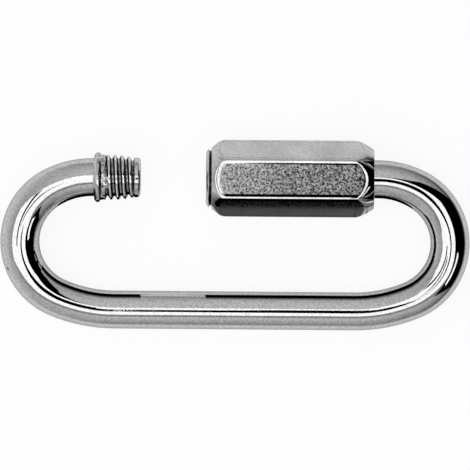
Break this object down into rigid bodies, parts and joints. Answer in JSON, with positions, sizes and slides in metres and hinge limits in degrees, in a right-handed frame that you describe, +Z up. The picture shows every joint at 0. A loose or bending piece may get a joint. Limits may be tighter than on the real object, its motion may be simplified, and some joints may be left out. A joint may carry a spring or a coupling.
{
  "type": "chain quick link",
  "caption": "Long oval quick link of bent round rod with a hexagonal sleeve nut that screws across its gate to join chain, rope eyes or rings.",
  "frame": {"origin": "centre of the link's footprint, on the surface it lies on", "axes": "+X along the nut's axis towards the bow that the nut is run back to, +Y across the link from its back to the nut, +Z up"},
  "size_m": [0.084, 0.034, 0.012],
  "materials": {
    "rod_zinc": "bright zinc plating on smooth round rod",
    "nut_zinc": "zinc plating on turned hexagonal bar, finely grained flats"
  },
  "bodies": {
    "rod": {"link_rod": "rod_zinc"},
    "nut": {"sleeve_nut": "nut_zinc"}
  },
  "joints": [
    {"name": "nut_run", "type": "slide", "parent": "rod", "child": "nut", "axis": [-1, 0, 0], "range_m": [0, 0.01894]}
  ]
}
